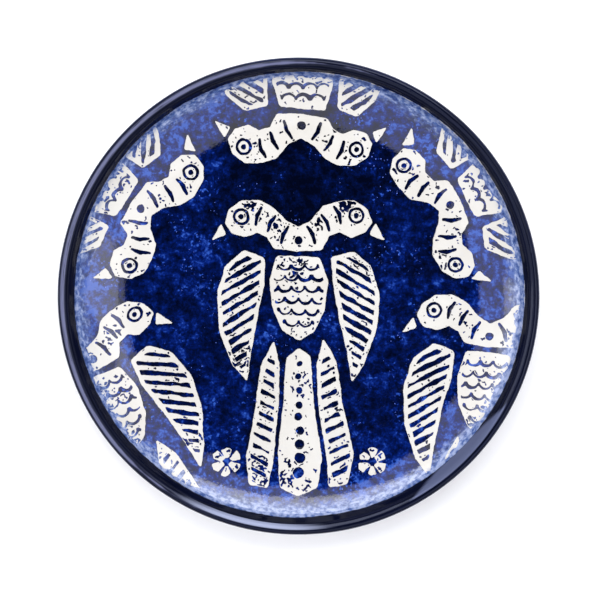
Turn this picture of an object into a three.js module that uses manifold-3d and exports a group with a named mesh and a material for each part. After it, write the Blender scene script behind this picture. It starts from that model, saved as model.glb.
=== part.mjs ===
// Hand painted ceramic plate, in millimetres, +Z up.
// The plate stands on its foot ring at z = 0 and its axis is Z. +Y is the top of the picture.
// One thrown clay body carries a luted foot ring and fired coats: a white glaze, a thicker
// cobalt coat with windows that leave the painted birds white, a dark band over the lip,
// and a glaze on the back and in the foot well.

import * as THREE from 'three';
import { mergeVertices } from 'three/addons/utils/BufferGeometryUtils.js';
import Module from 'manifold-3d';

// ---- driving dimensions -------------------------------------------------------------------

const SEGMENTS = 60;            // steps round every turned piece

const FLOOR_TOP = 10;           // clay surface of the well floor
const WALL = 5;                 // clay thickness of the floor and the curved wall
const WELL_FLAT_RADIUS = 86;    // where the flat floor ends
const WELL_CURVE_RADIUS = 75.6; // radius of the arc between floor and lip
const WELL_CURVE_ANGLE = THREE.MathUtils.degToRad(27.5);
const WELL_CURVE_STEPS = 4;

const LIP_SLOPE = THREE.MathUtils.degToRad(62); // the inner face of the lip, from horizontal
const LIP_FACE = 8.2;           // length of that face
const LIP_RADIUS = 2.4;         // half the lip's clay thickness
const LIP_STEPS = 5;

const FOOT_OUTER_RADIUS = 84;
const FOOT_INNER_RADIUS = 77;
const FOOT_HEIGHT = FLOOR_TOP - WALL;
const FOOT_CHAMFER = 1;

const WHITE_COAT = 0.4;         // white glaze over the face
const COBALT_COAT = 0.35;       // cobalt over the white
const FUSED_GAP = 0.02;         // hairline that stands for the fused boundary under the cobalt
const BAND_COAT = WHITE_COAT + COBALT_COAT;
const BACK_COAT = 0.4;
const BAND_DROP = 0.55;         // how far the band runs down the outside of the lip, 0 to 1
const COAT_CLEARANCE = 0.3;     // bare clay between the back glaze and the foot ring

// Where the coats meet, as steps along the glazed surface.
const LIP_FOOT = WELL_CURVE_STEPS + 1;
const BAND_END = LIP_FOOT + LIP_STEPS + 2;

const WINDOW_LIMIT = 117.5;     // the painted birds stop here, inside a blue border

// Where the birds are painted: turn in degrees, then the shift of the motif's origin.
const PLACEMENTS = [
  { turn: 0, x: 0, y: 0 },
  { turn: 178, x: 2.5, y: 124 },
  { turn: -123, x: -111.5, y: 66 },
  { turn: 118, x: 110, y: 64.5 },
  { turn: 24, x: -100, y: -62.5 },
  { turn: -3, x: 102, y: -53 },
];

// ---- the painted bird ---------------------------------------------------------------------
// Each outline is a white area of the motif. A half outline runs from the top of the centre
// line to the bottom and is mirrored; a side outline is drawn on the right and copied left.

const HALF_OUTLINES = {
  heads_and_necks: [
    [0, 38], [7, 42], [13, 48.5], [21, 52], [30, 52], [37.5, 47.5], [39.5, 40.5],
    [36, 34.5], [29, 32.5], [22.5, 35.5], [17, 33], [13.5, 26.5], [0, 25],
  ],
  body: [[0, 22], [12, 22], [16, 8], [14, -8], [8, -19], [0, -24]],
  tail_middle: [[0, -28], [6, -34], [8, -60], [12, -90], [10, -106], [0, -110]],
};

const SIDE_OUTLINES = {
  beak: [[41.6, 39.6], [47, 30], [38.6, 33.4]],
  wing: [
    [18, 22], [30, 25], [40, 16], [45, 0], [43, -20], [36, -38], [28, -48], [26, -30], [22, -10], [18.5, 6],
  ],
  tail_side: [
    [13, -24], [20, -36], [24, -60], [30, -88], [27, -104], [17, -106], [14.5, -90], [11, -60], [9.5, -38],
  ],
};

// The flower beside the tail: blunt petals round a centre.
const FLOWER = { x: 40, y: -92, inner: 2.4, outer: 7.4, gap: 9, petals: 6 };

function mirrored(half) {
  const left = half.filter(([x]) => x > 0).map(([x, y]) => [-x, y]);
  return [...half, ...left.reverse()];
}

function flowerPetals() {
  const petals = [];
  for (let i = 0; i < FLOWER.petals; i += 1) {
    const from = THREE.MathUtils.degToRad((360 / FLOWER.petals) * i + FLOWER.gap);
    const to = THREE.MathUtils.degToRad((360 / FLOWER.petals) * (i + 1) - FLOWER.gap);
    const { inner, outer } = FLOWER;
    const corners = [[inner, from], [outer, from], [outer + 0.8, (from + to) / 2], [outer, to], [inner, to]];
    petals.push(corners.map(([r, a]) => [FLOWER.x + r * Math.cos(a), FLOWER.y + r * Math.sin(a)]));
  }
  return petals;
}

function motifOutlines() {
  const sides = [...Object.values(SIDE_OUTLINES), ...flowerPetals()];
  const outlines = Object.values(HALF_OUTLINES).map(mirrored);
  for (const side of sides) {
    outlines.push(side);
    outlines.push(side.map(([x, y]) => [-x, y]));
  }
  return outlines;
}

// ---- turned profiles ----------------------------------------------------------------------

function arc(centreX, centreY, radius, from, to, steps) {
  const points = [];
  for (let i = 0; i <= steps; i += 1) {
    const angle = from + ((to - from) * i) / steps;
    points.push([centreX + radius * Math.cos(angle), centreY + radius * Math.sin(angle)]);
  }
  return points;
}

// The well, from the centre of the floor to the foot of the lip.
function facePath() {
  const down = -Math.PI / 2;
  const centreZ = FLOOR_TOP + WELL_CURVE_RADIUS;
  const curve = arc(WELL_FLAT_RADIUS, centreZ, WELL_CURVE_RADIUS, down, down + WELL_CURVE_ANGLE, WELL_CURVE_STEPS);
  return [[0, FLOOR_TOP], ...curve];
}

// The lip, from the foot of its inner face, over the crest, to where its outside starts.
function lipPath() {
  const foot = facePath().at(-1);
  const rise = [LIP_FACE * Math.cos(LIP_SLOPE), LIP_FACE * Math.sin(LIP_SLOPE)];
  const normal = LIP_SLOPE + Math.PI / 2;
  const centreR = foot[0] + rise[0] - LIP_RADIUS * Math.cos(normal);
  const centreZ = foot[1] + rise[1] - LIP_RADIUS * Math.sin(normal);
  return [foot, ...arc(centreR, centreZ, LIP_RADIUS, normal, -0.25, LIP_STEPS)];
}

// The back, from the outside of the lip down to the foot ring.
function backPath() {
  const down = -Math.PI / 2;
  const centreZ = FLOOR_TOP + WELL_CURVE_RADIUS;
  const radius = WELL_CURVE_RADIUS + WALL;
  const curve = arc(WELL_FLAT_RADIUS, centreZ, radius, down + WELL_CURVE_ANGLE, down, WELL_CURVE_STEPS);
  return [lipPath().at(-1), ...curve];
}

// The whole glazed surface in one path, from the centre of the well round to the foot.
function surfacePath() {
  const lip = lipPath();
  const [start, end, ...curve] = backPath();
  const bandEnd = [0, 1].map((axis) => start[axis] + (end[axis] - start[axis]) * BAND_DROP);
  const footEnd = [FOOT_OUTER_RADIUS + COAT_CLEARANCE, FLOOR_TOP - WALL];
  return [...facePath(), ...lip.slice(1), bandEnd, end, ...curve, footEnd];
}

// The same path moved outward by a coat's thickness, at right angles to it.
function raised(path, thickness) {
  return path.map(([r, z], i) => {
    const before = path[Math.max(i - 1, 0)];
    const after = path[Math.min(i + 1, path.length - 1)];
    const length = Math.hypot(after[0] - before[0], after[1] - before[1]);
    const normal = [-(after[1] - before[1]) / length, (after[0] - before[0]) / length];
    return r === 0 ? [0, z + thickness] : [r + normal[0] * thickness, z + normal[1] * thickness];
  });
}

// A coat over one stretch of the surface, between two depths above the clay.
function coatProfile(first, last, from, to) {
  const under = raised(surfacePath(), from).slice(first, last + 1);
  const over = raised(surfacePath(), to).slice(first, last + 1);
  return [...under, ...over.reverse()];
}

function signedArea(profile) {
  let sum = 0;
  profile.forEach(([x, y], i) => {
    const [nextX, nextY] = profile[(i + 1) % profile.length];
    sum += x * nextY - nextX * y;
  });
  return sum / 2;
}

// ---- meshes -------------------------------------------------------------------------------

// Shared vertices merged, and the triangles that collapse on the axis left out.
function welded(geometry) {
  geometry.deleteAttribute('normal');
  geometry.deleteAttribute('uv');
  const merged = mergeVertices(geometry, 1e-5);
  const index = [...merged.index.array];
  const kept = [];
  for (let i = 0; i < index.length; i += 3) {
    const [a, b, c] = index.slice(i, i + 3);
    if (a !== b && b !== c && c !== a) {
      kept.push(a, b, c);
    }
  }
  merged.setIndex(kept);
  return merged;
}

function turned(profile) {
  const outward = signedArea(profile) > 0 ? profile : [...profile].reverse();
  const closed = [...outward, outward[0]];
  const points = closed.map(([r, z]) => new THREE.Vector2(r, z));
  const geometry = new THREE.LatheGeometry(points, SEGMENTS);
  geometry.rotateX(Math.PI / 2);
  return welded(geometry);
}

function toSolid(geometry) {
  const vertProperties = new Float32Array(geometry.attributes.position.array);
  const triVerts = new Uint32Array(geometry.index.array);
  return new wasm.Manifold(new wasm.Mesh({ numProp: 3, vertProperties, triVerts }));
}

function toGeometry(solid) {
  const { vertProperties, triVerts } = solid.getMesh();
  const geometry = new THREE.BufferGeometry();
  geometry.setAttribute('position', new THREE.BufferAttribute(vertProperties, 3));
  geometry.setIndex(new THREE.BufferAttribute(triVerts, 1));
  return geometry;
}

function prism(outline, bottom, top) {
  const points = outline.map(([x, y]) => new THREE.Vector2(x, y));
  const geometry = new THREE.ExtrudeGeometry(new THREE.Shape(points), { depth: top - bottom, bevelEnabled: false });
  geometry.translate(0, 0, bottom);
  return geometry;
}

// ---- sub-parts ----------------------------------------------------------------------------

function clayBody() {
  const outline = [...facePath(), ...lipPath().slice(1), ...backPath().slice(1), [0, FLOOR_TOP - WALL]];
  return turned(outline);
}

function footRing() {
  return turned([
    [FOOT_INNER_RADIUS + FOOT_CHAMFER, 0],
    [FOOT_OUTER_RADIUS - FOOT_CHAMFER, 0],
    [FOOT_OUTER_RADIUS, FOOT_CHAMFER],
    [FOOT_OUTER_RADIUS, FOOT_HEIGHT],
    [FOOT_INNER_RADIUS, FOOT_HEIGHT],
    [FOOT_INNER_RADIUS, FOOT_CHAMFER],
  ]);
}

function whiteGlaze() {
  return turned(coatProfile(0, LIP_FOOT, 0, WHITE_COAT));
}

function cobaltGlaze() {
  const coat = toSolid(turned(coatProfile(0, LIP_FOOT, WHITE_COAT + FUSED_GAP, BAND_COAT)));
  const bottom = FLOOR_TOP - WALL;
  const top = FLOOR_TOP + 3 * WALL;
  const field = toSolid(turned([[0, bottom], [WINDOW_LIMIT, bottom], [WINDOW_LIMIT, top], [0, top]]));
  let painted = coat;
  for (const { turn, x, y } of PLACEMENTS) {
    for (const outline of motifOutlines()) {
      const geometry = prism(outline, bottom - 1, top + 1);
      geometry.rotateZ(THREE.MathUtils.degToRad(turn));
      geometry.translate(x, y, 0);
      const window = toSolid(welded(geometry)).intersect(field);
      painted = painted.subtract(window);
    }
  }
  return toGeometry(painted);
}

function rimBand() {
  return turned(coatProfile(LIP_FOOT, BAND_END, 0, BAND_COAT));
}

function backGlaze() {
  return turned(coatProfile(BAND_END, surfacePath().length - 1, 0, BACK_COAT));
}

function footWellGlaze() {
  const radius = FOOT_INNER_RADIUS - COAT_CLEARANCE;
  const top = FLOOR_TOP - WALL;
  return turned([[0, top - BACK_COAT], [radius, top - BACK_COAT], [radius, top], [0, top]]);
}

// ---- assembly -----------------------------------------------------------------------------

const wasm = await Module();
wasm.setup();

const SUBPARTS = [
  { name: 'clay_body', make: clayBody, color: 0xc9a383, roughness: 0.9 },
  { name: 'foot_ring', make: footRing, color: 0xbf9775, roughness: 0.9 },
  { name: 'white_glaze', make: whiteGlaze, color: 0xf3efe6, roughness: 0.15 },
  { name: 'cobalt_glaze', make: cobaltGlaze, color: 0x14246c, roughness: 0.12 },
  { name: 'rim_band', make: rimBand, color: 0x14131f, roughness: 0.12 },
  { name: 'back_glaze', make: backGlaze, color: 0xece7dc, roughness: 0.2 },
  { name: 'foot_well_glaze', make: footWellGlaze, color: 0xe9e3d6, roughness: 0.25 },
];

const plate = new THREE.Group();
for (const { name, make, color, roughness } of SUBPARTS) {
  const material = new THREE.MeshStandardMaterial({ color, roughness, metalness: 0 });
  const mesh = new THREE.Mesh(make(), material);
  mesh.name = name;
  plate.add(mesh);
}

export default plate;
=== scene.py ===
"""Hand painted ceramic plate: cobalt glaze over white, with painted birds left in reserve.

The drawing is worked out in millimetres on the plate's plan, and each piece is made in metres in
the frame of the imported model. The cobalt coat is a real relief: one height field holds the motif,
its brushed lines and its specks, and the coat's mesh follows that field's contours.
"""

import math

import bpy
import numpy as np
from mathutils import Matrix, Vector
from mathutils.geometry import delaunay_2d_cdt


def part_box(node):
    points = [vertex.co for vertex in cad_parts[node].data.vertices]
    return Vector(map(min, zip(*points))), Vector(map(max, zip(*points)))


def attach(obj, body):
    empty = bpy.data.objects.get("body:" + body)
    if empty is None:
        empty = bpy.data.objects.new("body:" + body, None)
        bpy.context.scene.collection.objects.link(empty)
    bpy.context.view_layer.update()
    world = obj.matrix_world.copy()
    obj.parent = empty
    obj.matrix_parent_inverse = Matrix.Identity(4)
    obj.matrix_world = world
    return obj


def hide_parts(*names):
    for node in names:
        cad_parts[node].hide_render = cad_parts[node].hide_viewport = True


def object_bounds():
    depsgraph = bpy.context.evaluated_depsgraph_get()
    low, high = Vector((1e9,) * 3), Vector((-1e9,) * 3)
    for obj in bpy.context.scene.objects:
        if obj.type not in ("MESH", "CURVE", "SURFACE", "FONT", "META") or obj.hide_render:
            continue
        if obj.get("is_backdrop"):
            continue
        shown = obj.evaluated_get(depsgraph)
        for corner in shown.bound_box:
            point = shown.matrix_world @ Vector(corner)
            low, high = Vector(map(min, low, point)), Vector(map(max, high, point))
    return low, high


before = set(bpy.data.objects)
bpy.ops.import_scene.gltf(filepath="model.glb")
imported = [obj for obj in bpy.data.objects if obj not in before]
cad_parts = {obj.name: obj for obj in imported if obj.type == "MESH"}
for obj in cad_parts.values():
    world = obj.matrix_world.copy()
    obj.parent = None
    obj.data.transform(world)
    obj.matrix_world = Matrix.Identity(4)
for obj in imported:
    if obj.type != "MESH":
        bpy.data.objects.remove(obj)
cad_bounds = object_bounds()


# ---- sizes in millimetres -------------------------------------------------------------------

MM = 0.001


def box_mm(node):
    low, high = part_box(node)
    return np.array(low) / MM, np.array(high) / MM


FLOOR_TOP = box_mm("white_glaze")[0][2]  # clay surface of the well floor
FOOT_TOP = box_mm("foot_ring")[1][2]
FOOT_OUTER = box_mm("foot_ring")[1][0]
RIM_RADIUS = box_mm("rim_band")[1][0]
RIM_HEIGHT = box_mm("rim_band")[1][2]
WELL_FLAT = 86.0  # where the flat floor ends
WELL_CURVE = 75.6  # radius of the arc between floor and lip
WELL_ANGLE = math.radians(27.5)
LIP_SLOPE = math.radians(62)
SHOULDER_RADIUS = 4.0  # the lip's soft inner shoulder
CREST_RADIUS = 1.45  # and its tighter outer edge
FOOT_WIDTH = 7.0

WHITE_COAT = 0.4
COBALT_COAT = 0.28
BAND_COAT = 0.75
BACK_COAT = 0.4
SUNK = 0.08  # how deep a coat's edge sits in the coat below it

LIP_FOOT_R = WELL_FLAT + WELL_CURVE * math.sin(WELL_ANGLE)


# ---- smooth noise ---------------------------------------------------------------------------

def smooth_noise(x, y, cell, seed):
    """Noise between about -1 and 1 on the plane, smooth to its second derivative."""
    table = np.random.default_rng(seed).uniform(-1.6, 1.6, (256, 256))
    u, v = np.asarray(x) / cell + 1000.5, np.asarray(y) / cell + 1000.5
    iu, iv = np.floor(u).astype(int), np.floor(v).astype(int)
    fu, fv = u - iu, v - iv
    total = np.zeros_like(fu)
    for a, wa in enumerate(spline_weights(fu)):
        for b, wb in enumerate(spline_weights(fv)):
            total += wa * wb * table[(iu + a) % 256, (iv + b) % 256]
    return total


def grid_noise(axis_x, axis_y, cell, seed):
    """The same noise over a whole grid, worked out one direction at a time."""
    table = np.random.default_rng(seed).uniform(-1.6, 1.6, (256, 256))
    rows, row_weights = axis_weights(axis_x, cell)
    columns, column_weights = axis_weights(axis_y, cell)
    return column_weights @ table[np.ix_(rows, columns)].T @ row_weights.T


def axis_weights(axis, cell):
    """Which noise values reach an axis, and how much each counts at each place along it."""
    place = axis / cell + 1000.5
    whole = np.floor(place).astype(int)
    weights = np.zeros((len(axis), whole[-1] - whole[0] + 4))
    for step, amount in enumerate(spline_weights(place - whole)):
        weights[np.arange(len(axis)), whole - whole[0] + step] += amount
    return np.arange(whole[0], whole[-1] + 4) % 256, weights


def spline_weights(t):
    """The four weights of a cubic B-spline at t."""
    return (
        (1 - t) ** 3 / 6,
        (3 * t ** 3 - 6 * t ** 2 + 4) / 6,
        (-3 * t ** 3 + 3 * t ** 2 + 3 * t + 1) / 6,
        t ** 3 / 6,
    )


def ramp(x, low, high):
    """0 below low, 1 above high, smooth between."""
    t = np.clip((x - low) / (high - low), 0, 1)
    return t * t * (3 - 2 * t)


# ---- the turned surface ---------------------------------------------------------------------

PATH_STEP = 0.2  # spacing of the points on the turned path


def arc(centre, radius, start, end):
    count = max(int(abs(end - start) * radius / PATH_STEP), 2)
    angles = np.linspace(start, end, count)
    return np.column_stack([centre[0] + radius * np.cos(angles), centre[1] + radius * np.sin(angles)])


def line(start, end):
    count = max(int(math.dist(start, end) / PATH_STEP), 2)
    return np.linspace(start, end, count)


def lengths_along(points):
    """The distance along an open path at each of its points."""
    return np.concatenate([[0], np.cumsum(np.hypot(*np.diff(points, axis=0).T))])


def bell_weights(half, step, width):
    """Weights that smooth a row of values, half of them on either side of the middle one."""
    kernel = np.exp(-0.5 * (np.arange(-half, half + 1) * step / width) ** 2)
    return kernel / kernel.sum()


def turn_angles(count):
    """Even angles once round the axis."""
    return np.arange(count) * 2 * math.pi / count


def clay_path():
    """The clay surface from the centre of the well, over the lip, to the foot: radius and height."""
    down = -math.pi / 2
    well_centre = (WELL_FLAT, FLOOR_TOP + WELL_CURVE)
    floor = line((0, FLOOR_TOP), (WELL_FLAT, FLOOR_TOP))
    wall = arc(well_centre, WELL_CURVE, down, down + WELL_ANGLE)
    outer_edge = np.array([RIM_RADIUS - BAND_COAT, RIM_HEIGHT - BAND_COAT])
    crest_centre = outer_edge - CREST_RADIUS
    shoulder_centre = crest_centre - (0, SHOULDER_RADIUS - CREST_RADIUS)
    normal = LIP_SLOPE + math.pi / 2
    shoulder_start = shoulder_centre + SHOULDER_RADIUS * np.array([math.cos(normal), math.sin(normal)])
    lip_face = line(wall[-1], shoulder_start)
    shoulder = arc(shoulder_centre, SHOULDER_RADIUS, normal, math.pi / 2)
    crest = arc(crest_centre, CREST_RADIUS, math.pi / 2, -0.25)
    outside = arc(well_centre, WELL_CURVE + FLOOR_TOP - FOOT_TOP, down + WELL_ANGLE, down)
    under = line(outside[-1], (FOOT_OUTER, FOOT_TOP))
    runs = [floor, wall[1:], lip_face[1:], shoulder[1:], crest[1:]]
    runs += [line(crest[-1], outside[0])[1:], outside[1:], under[1:]]
    return evened(np.vstack(runs), PATH_STEP)


def evened(points, spacing):
    """The same open path with points at an even spacing."""
    along = lengths_along(points)
    places = np.linspace(0, along[-1], int(along[-1] / spacing))
    return np.column_stack([np.interp(places, along, points[:, k]) for k in range(2)])


def eased(path, width):
    """Corners of an open path rounded over a width, its ends kept."""
    half = int(3 * width / PATH_STEP)
    kernel = bell_weights(half, PATH_STEP, width)
    before = 2 * path[0] - path[half:0:-1]
    after = 2 * path[-1] - path[-2:-half - 2:-1]
    padded = np.vstack([before, path, after])
    return np.column_stack([np.convolve(padded[:, k], kernel, "valid") for k in range(2)])


PATH = eased(clay_path(), 0.7)
PATH[0, 0] = 0
PATH_ALONG = lengths_along(PATH)
heading = np.gradient(PATH, axis=0)
heading /= np.hypot(heading[:, 0], heading[:, 1])[:, None]
PATH_NORMAL = np.column_stack([-heading[:, 1], heading[:, 0]])
PATH_NORMAL[0] = (0, 1)
CREST = int(np.argmax(PATH[:, 1]))  # the path's highest point
FACE_END = int(np.argmax(PATH[:CREST, 0] > LIP_FOOT_R))
LIP_FOOT_ALONG = PATH_ALONG[FACE_END]
CREST_ALONG = PATH_ALONG[CREST]
BAND_START_ALONG = LIP_FOOT_ALONG + 1.5
BAND_END_ALONG = CREST_ALONG + 9.5


def on_path(along, raise_by):
    """Radius and height of points at a distance along the path, raised off the clay."""
    at = [np.interp(along, PATH_ALONG, PATH[:, k]) for k in range(2)]
    normal = [np.interp(along, PATH_ALONG, PATH_NORMAL[:, k]) for k in range(2)]
    return at[0] + raise_by * normal[0], at[1] + raise_by * normal[1]


def plan_at(along, angles):
    """Plan position of points at a distance along the path."""
    r = np.interp(along, PATH_ALONG, PATH[:, 0])
    return r * np.cos(angles), r * np.sin(angles)


def unevenness(x, y):
    """How far a hand thrown face strays from the true profile."""
    r = np.hypot(x, y)
    rings = 0.012 * np.sin(r * 0.62 + 1.5 * smooth_noise(x, y, 40, 5)) * ramp(r, 6, 30)
    return rings + 0.10 * smooth_noise(x, y, 30, 11) + 0.015 * smooth_noise(x, y, 9, 12)


def face_at(r):
    """Height of the clay face at a radius, and the two parts of its normal."""
    face = slice(0, FACE_END + 40)
    values = (PATH[face, 1], PATH_NORMAL[face, 0], PATH_NORMAL[face, 1])
    return [np.interp(r, PATH[face, 0], value) for value in values]


def lifted(x, y, height):
    """Points on the face at a plan position, raised off the clay by a height."""
    r = np.hypot(x, y)
    z, normal_r, normal_z = face_at(r)
    outward = normal_r * height / np.maximum(r, 1e-6)
    return np.column_stack([x + x * outward, y + y * outward, z + normal_z * height])


def face_normals(x, y, slope_x, slope_y):
    """Normals of the face where its height off the clay has the given slopes."""
    r = np.hypot(x, y)
    _, normal_r, normal_z = face_at(r)
    normal_r = normal_r / np.maximum(r, 1e-6)
    normals = np.column_stack([x * normal_r - slope_x, y * normal_r - slope_y, normal_z])
    return normals / np.linalg.norm(normals, axis=1)[:, None]


# ---- the painted motif ----------------------------------------------------------------------
# A plain two-headed bird, drawn about its own centre line in millimetres. Half outlines run down
# from the top of the centre line and are mirrored, and so are the shapes drawn on its right side.

HALF_OUTLINES = [
    # heads and necks
    [
        (0, 38), (7, 42), (13, 48.5), (21, 52), (30, 52), (37.5, 47.5), (39.5, 40.5), (36, 34.5),
        (29, 32.5), (22.5, 35.5), (17, 33), (13.5, 26.5), (0, 25),
    ],
    # middle of the tail
    [(0, -28), (6, -34), (8, -60), (12, -90), (10, -106), (0, -110)],
]
BODY = [(0, 22), (12, 22), (16, 8), (14, -8), (8, -19), (0, -24)]

BEAK = [(41.6, 39.6), (47, 30), (38.6, 33.4)]
WING = [
    (18, 22), (30, 25), (40, 16), (45, 0), (43, -20), (36, -38), (28, -48), (26, -30), (22, -10),
    (18.5, 6),
]
TAIL_SIDE = [
    (13, -24), (20, -36), (24, -60), (30, -88), (27, -104), (17, -106), (14.5, -90), (11, -60),
    (9.5, -38),
]
FLOWER = {"x": 40, "y": -92, "inner": 2.4, "outer": 7.4, "gap": 9, "petals": 6}

# Collars on the necks, as brushed lines: points with the brush's half width at each.
COLLARS = [
    [(5.6, 38.2, 0.8), (8.4, 34, 1.3), (9.6, 29.4, 0.8)],
    [(12.4, 44.2, 0.8), (15.2, 40.4, 1.3), (16.6, 36.2, 0.8)],
    [(19.6, 48.4, 0.8), (22.2, 44.4, 1.3), (23, 39.6, 0.8)],
]
EYE = (31, 43.6, 1.5)  # a round dot in a ring
EYE_RING = 3.7
RING_LINE = 0.8  # half width of the ring's line
BREAST_DOT = (0, 31.6, 2.3)
TAIL_DOTS = [(0, -37 - 7.6 * i, 1.5 + 0.2 * i) for i in range(9)]

SCALE_WIDTH = 7.2  # width of a scale on the body
SCALE_DROP = 6.2  # from one row of scales to the next
SCALE_TOP = 18  # height of the first row
SCALE_ROWS = 7
WING_BARS = (0.6, 5.8)  # feather bars: their slant and their pitch
TAIL_BARS = (-0.5, 6.6)

# Where specks of blue gather on the white: centre, radius and how thick they lie.
SPECK_ZONES = [
    (0, 12, 12, 0.48), (0, -14, 11, 0.50), (28, 48, 9, 0.60), (12, 38, 9, 0.45), (0, -100, 12, 0.62),
    (22, -98, 10, 0.60), (34, 8, 14, 0.36), (30, -34, 12, 0.42), (0, -50, 12, 0.34),
    (18, -60, 12, 0.34), (40, -92, 9, 0.30),
]

# Where the bird is painted: a name, the turn in degrees, the shift of the motif's origin, and how
# thick the specks are there.
PLACEMENTS = [
    ("centre", 0, 0, 0, 1.0),
    ("top", 178, 2.5, 124, 0.55),
    ("upper_left", -123, -111.5, 66, 0.55),
    ("upper_right", 118, 110, 64.5, 0.75),
    ("lower_left", 24, -100, -62.5, 0.7),
    ("lower_right", -3, 102, -53, 0.6),
]

MOTIF_HALF_WIDTH = 60  # all of the motif lies inside these
MOTIF_FOOT = -117
MOTIF_TOP = 57
STENCIL_STEP = 0.2
STENCIL_X = np.arange(-MOTIF_HALF_WIDTH - 2, MOTIF_HALF_WIDTH + 2, STENCIL_STEP)
STENCIL_Y = np.arange(MOTIF_FOOT - 2, MOTIF_TOP + 1, STENCIL_STEP)
FAR = 4.0  # the field's value well away from any edge
HAND_WANDER = 0.6  # how far a corner strays
CORNER_KEPT, CORNER_CUT = 0.93, 0.07  # how a corner is blunted, as parts of its sides


def mirrored(half):
    left = [(-x, y) for x, y in half if x > 0]
    return list(half) + left[::-1]


def hand_cut(outline, hand):
    """A closed outline with each corner moved a little, as a hand cuts it, and its tip blunted."""
    points = np.array(outline, float) + hand.uniform(-HAND_WANDER, HAND_WANDER, (len(outline), 2))
    following = np.roll(points, -1, axis=0)
    leaving = CORNER_KEPT * points + CORNER_CUT * following
    arriving = CORNER_CUT * points + CORNER_KEPT * following
    return np.stack([leaving, arriving], axis=1).reshape(-1, 2)


def window_round(points, margin):
    """The stencil's rows and columns that a shape's outline reaches, and their grid."""
    low, high = np.min(points, axis=0) - margin, np.max(points, axis=0) + margin
    columns = slice(*np.searchsorted(STENCIL_X, (low[0], high[0])))
    rows = slice(*np.searchsorted(STENCIL_Y, (low[1], high[1])))
    x, y = np.meshgrid(STENCIL_X[columns], STENCIL_Y[rows])
    return rows, columns, x, y


def distance_to_segment(x, y, start, end):
    run = np.subtract(end, start)
    along = ((x - start[0]) * run[0] + (y - start[1]) * run[1]) / max(run @ run, 1e-9)
    along = np.clip(along, 0, 1)
    return np.hypot(x - start[0] - along * run[0], y - start[1] - along * run[1]), along


def distance_to_outline(x, y, points):
    """Signed distance to a closed outline, negative inside."""
    nearest = np.full(x.shape, np.inf)
    inside = np.zeros(x.shape, bool)
    for start, end in zip(points, np.roll(points, -1, axis=0)):
        nearest = np.minimum(nearest, distance_to_segment(x, y, start, end)[0])
        if start[1] != end[1]:
            crosses = (start[1] > y) != (end[1] > y)
            at = start[0] + (y - start[1]) * (end[0] - start[0]) / (end[1] - start[1])
            inside ^= crosses & (x < at)
    return np.where(inside, -nearest, nearest)


def distance_to_stroke(x, y, stroke):
    """Signed distance to a brushed line of varying width, negative inside."""
    nearest = np.full(x.shape, np.inf)
    for (ax, ay, a_half), (bx, by, b_half) in zip(stroke, stroke[1:]):
        distance, along = distance_to_segment(x, y, (ax, ay), (bx, by))
        nearest = np.minimum(nearest, distance - a_half - along * (b_half - a_half))
    return nearest


def leave_white(stencil, outline):
    rows, columns, x, y = window_round(outline, 4)
    stencil[rows, columns] = np.minimum(stencil[rows, columns], distance_to_outline(x, y, outline))


def paint_blue(stencil, points, distance):
    rows, columns, x, y = window_round(points, 6)
    stencil[rows, columns] = np.maximum(stencil[rows, columns], -distance(x, y))


def flower_petals():
    """The flower beside the tail, as blunt petals round a centre."""
    inner, outer = FLOWER["inner"], FLOWER["outer"]
    for i in range(FLOWER["petals"]):
        start = math.radians(360 / FLOWER["petals"] * i + FLOWER["gap"])
        end = math.radians(360 / FLOWER["petals"] * (i + 1) - FLOWER["gap"])
        tip = (outer + 0.8, (start + end) / 2)
        corners = [(inner, start), (outer, start), tip, (outer, end), (inner, end)]
        yield [(FLOWER["x"] + r * math.cos(a), FLOWER["y"] + r * math.sin(a)) for r, a in corners]


def feathers(x, y, outline, slant, pitch):
    """Feathers as uneven slanting bars of blue, inside a white border."""
    depth = -distance_to_outline(x, y, outline)
    uneven = 0.5 * smooth_noise(x, y, 3, 77)
    across = (y + slant * np.abs(x)) % pitch - pitch / 2
    bar = 1.15 + uneven - np.abs(across) / math.hypot(1, slant)
    border = 2.1 + 0.6 * smooth_noise(x, y, 4, 78)
    return np.minimum(bar, depth - border)


def scales(x, y, outline):
    """The body's scales: rows of hanging arches, each row set off by half an arch."""
    depth = -distance_to_outline(x, y, outline)
    uneven = 0.35 * smooth_noise(x, y, 3, 79)
    arches = np.full(x.shape, -FAR)
    for row in range(SCALE_ROWS):
        top = SCALE_TOP - SCALE_DROP * row
        across = (x + SCALE_WIDTH / 2 * (1 + row % 2)) % SCALE_WIDTH - SCALE_WIDTH / 2
        line = 0.8 + uneven - np.abs(np.hypot(across, y - top) - SCALE_WIDTH / 2)
        arches = np.where(y < top, np.maximum(arches, line), arches)
    return np.minimum(arches, depth - 1.8)


def paint_dot(stencil, middle, radius):
    paint_blue(stencil, [middle], lambda x, y: np.hypot(x - middle[0], y - middle[1]) - radius)


def paint_ring(stencil, middle, radius):
    paint_blue(
        stencil, [middle],
        lambda x, y: np.abs(np.hypot(x - middle[0], y - middle[1]) - radius) - RING_LINE)


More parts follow.
